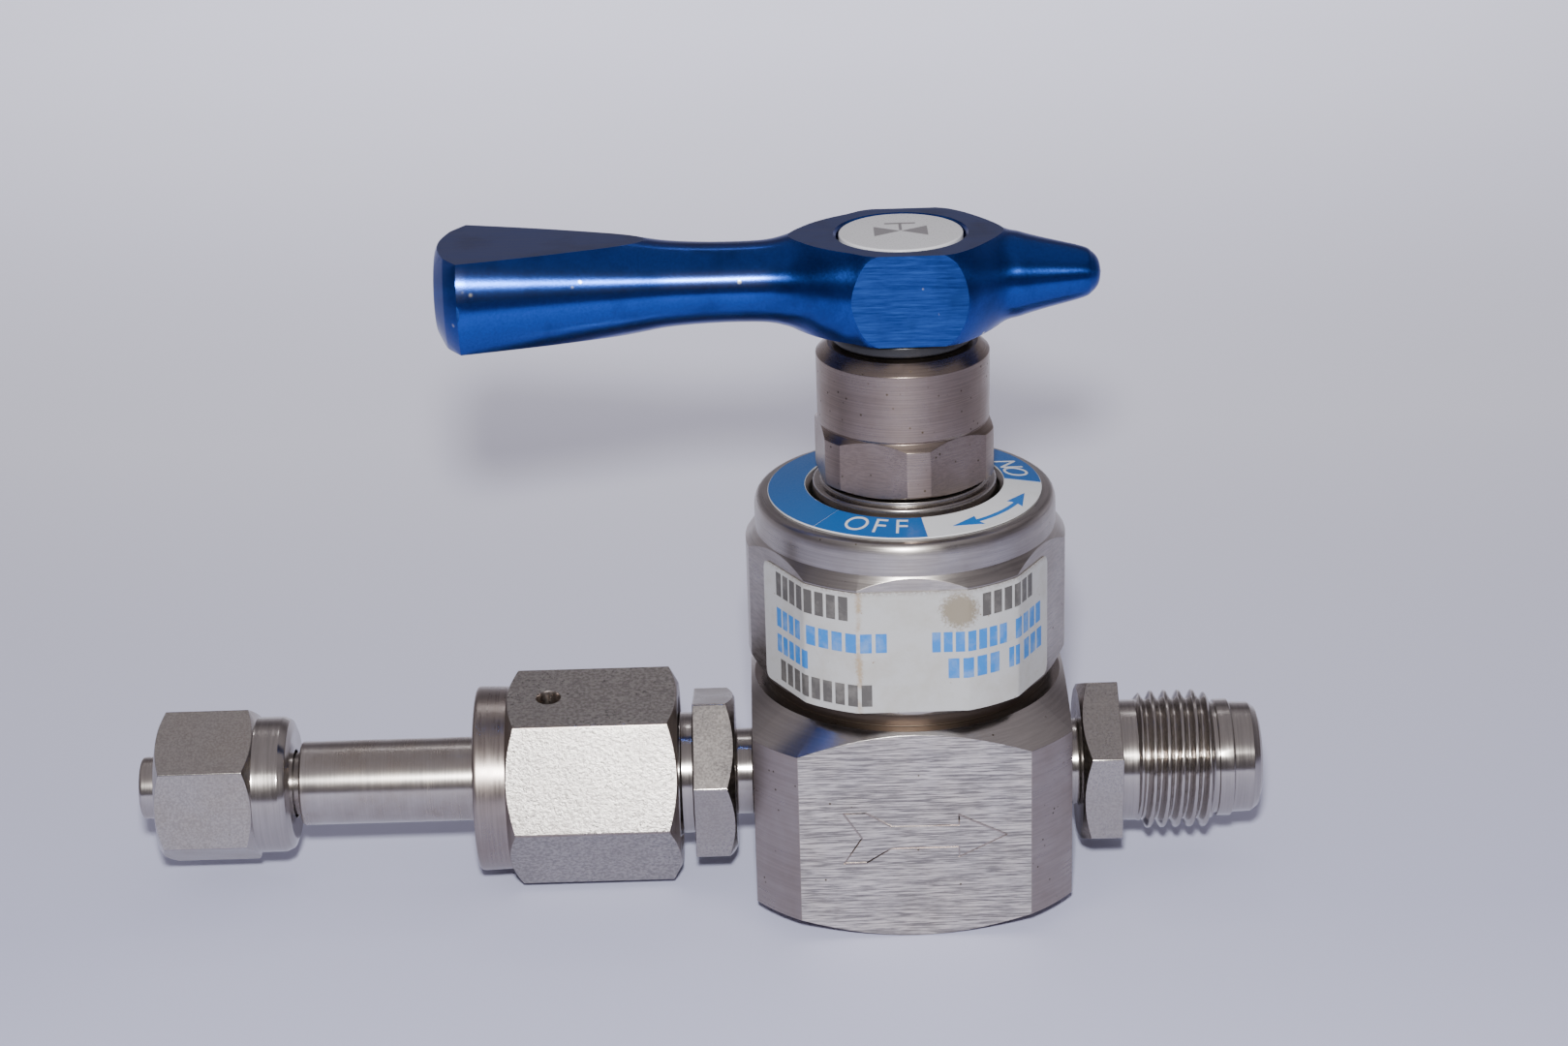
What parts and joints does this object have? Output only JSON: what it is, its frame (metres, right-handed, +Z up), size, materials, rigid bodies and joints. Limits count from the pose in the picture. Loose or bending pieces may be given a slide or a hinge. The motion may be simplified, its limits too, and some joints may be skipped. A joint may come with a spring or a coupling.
{
  "type": "quarter-turn diaphragm valve",
  "caption": "Lever-operated quarter-turn diaphragm valve on a compact block body, with face-seal gas fittings, a reducing tube end and an OFF/ON dial.",
  "frame": {"origin": "centre of the valve body's base, on the stem's axis", "axes": "+X along the flow, towards the outlet; +Z up the stem; +Y completes the frame, away from the side that carries the serial label"},
  "size_m": [0.1149, 0.0318, 0.0685],
  "materials": {
    "body_steel": "milled flats and turned corners",
    "fitting_steel": "bright turned",
    "nut_steel": "machined hexes with a fine grain",
    "bonnet_nut_steel": "satin turned",
    "housing_steel": "turned, slightly stained",
    "hard_steel": "ground",
    "spring_alloy": "rolled",
    "bearing_bronze": "machined",
    "blue_anodise": "blue anodised, satin, worn at the edges",
    "black_plastic": "matte",
    "white_plastic": "satin",
    "seat_plastic": "machined",
    "label_film": "printed film"
  },
  "bodies": {
    "valve": {"valve_body": "body_steel", "inlet_union": "fitting_steel", "outlet_union": "fitting_steel", "face_gasket": "spring_alloy", "seat_insert": "seat_plastic", "diaphragm": "spring_alloy", "bonnet": "body_steel", "bonnet_nut": "bonnet_nut_steel", "dial_ring": "label_film", "serial_label": "label_film", "stem_housing": "housing_steel", "stem_bushing": "bearing_bronze", "thrust_washer": "hard_steel", "stop_pin": "hard_steel", "handle_washer": "black_plastic"},
    "lever": {"handle": "blue_anodise", "handle_cap": "white_plastic", "handle_screw": "hard_steel", "stem": "hard_steel"},
    "button": {"actuator_button": "bearing_bronze"},
    "gland": {"inlet_gland": "fitting_steel", "front_ferrule": "fitting_steel", "back_ferrule": "fitting_steel"},
    "coupling": {"coupling_nut": "nut_steel"},
    "end_nut": {"tube_nut": "nut_steel"}
  },
  "joints": [
    {"name": "lever_turn", "type": "hinge", "parent": "valve", "child": "lever", "pos_m": [0, 0, 0.06395], "axis": [0, 0, 1], "range_deg": [-90, 0]},
    {"name": "button_slide", "type": "slide", "parent": "valve", "child": "button", "axis": [0, 0, 1], "range_m": [-0.0006, 0], "deforming": ["diaphragm"]},
    {"name": "gland_slide", "type": "slide", "parent": "valve", "child": "gland", "axis": [-1, 0, 0], "range_m": [0, 0.00705]},
    {"name": "nut_turn", "type": "hinge", "parent": "gland", "child": "coupling", "pos_m": [-0.0235, 0, 0.0111], "axis": [-1, 0, 0], "range_deg": [0, 1800]},
    {"name": "tube_nut_spin", "type": "hinge", "parent": "gland", "child": "end_nut", "pos_m": [-0.0631, 0, 0.0111], "axis": [1, 0, 0], "continuous": true}
  ],
  "couplings": [
    {"joint": "button_slide", "follows": "lever_turn", "m_per_rad": 0.00038},
    {"joint": "nut_turn", "follows": "gland_slide", "rad_per_m": 4452.6}
  ]
}
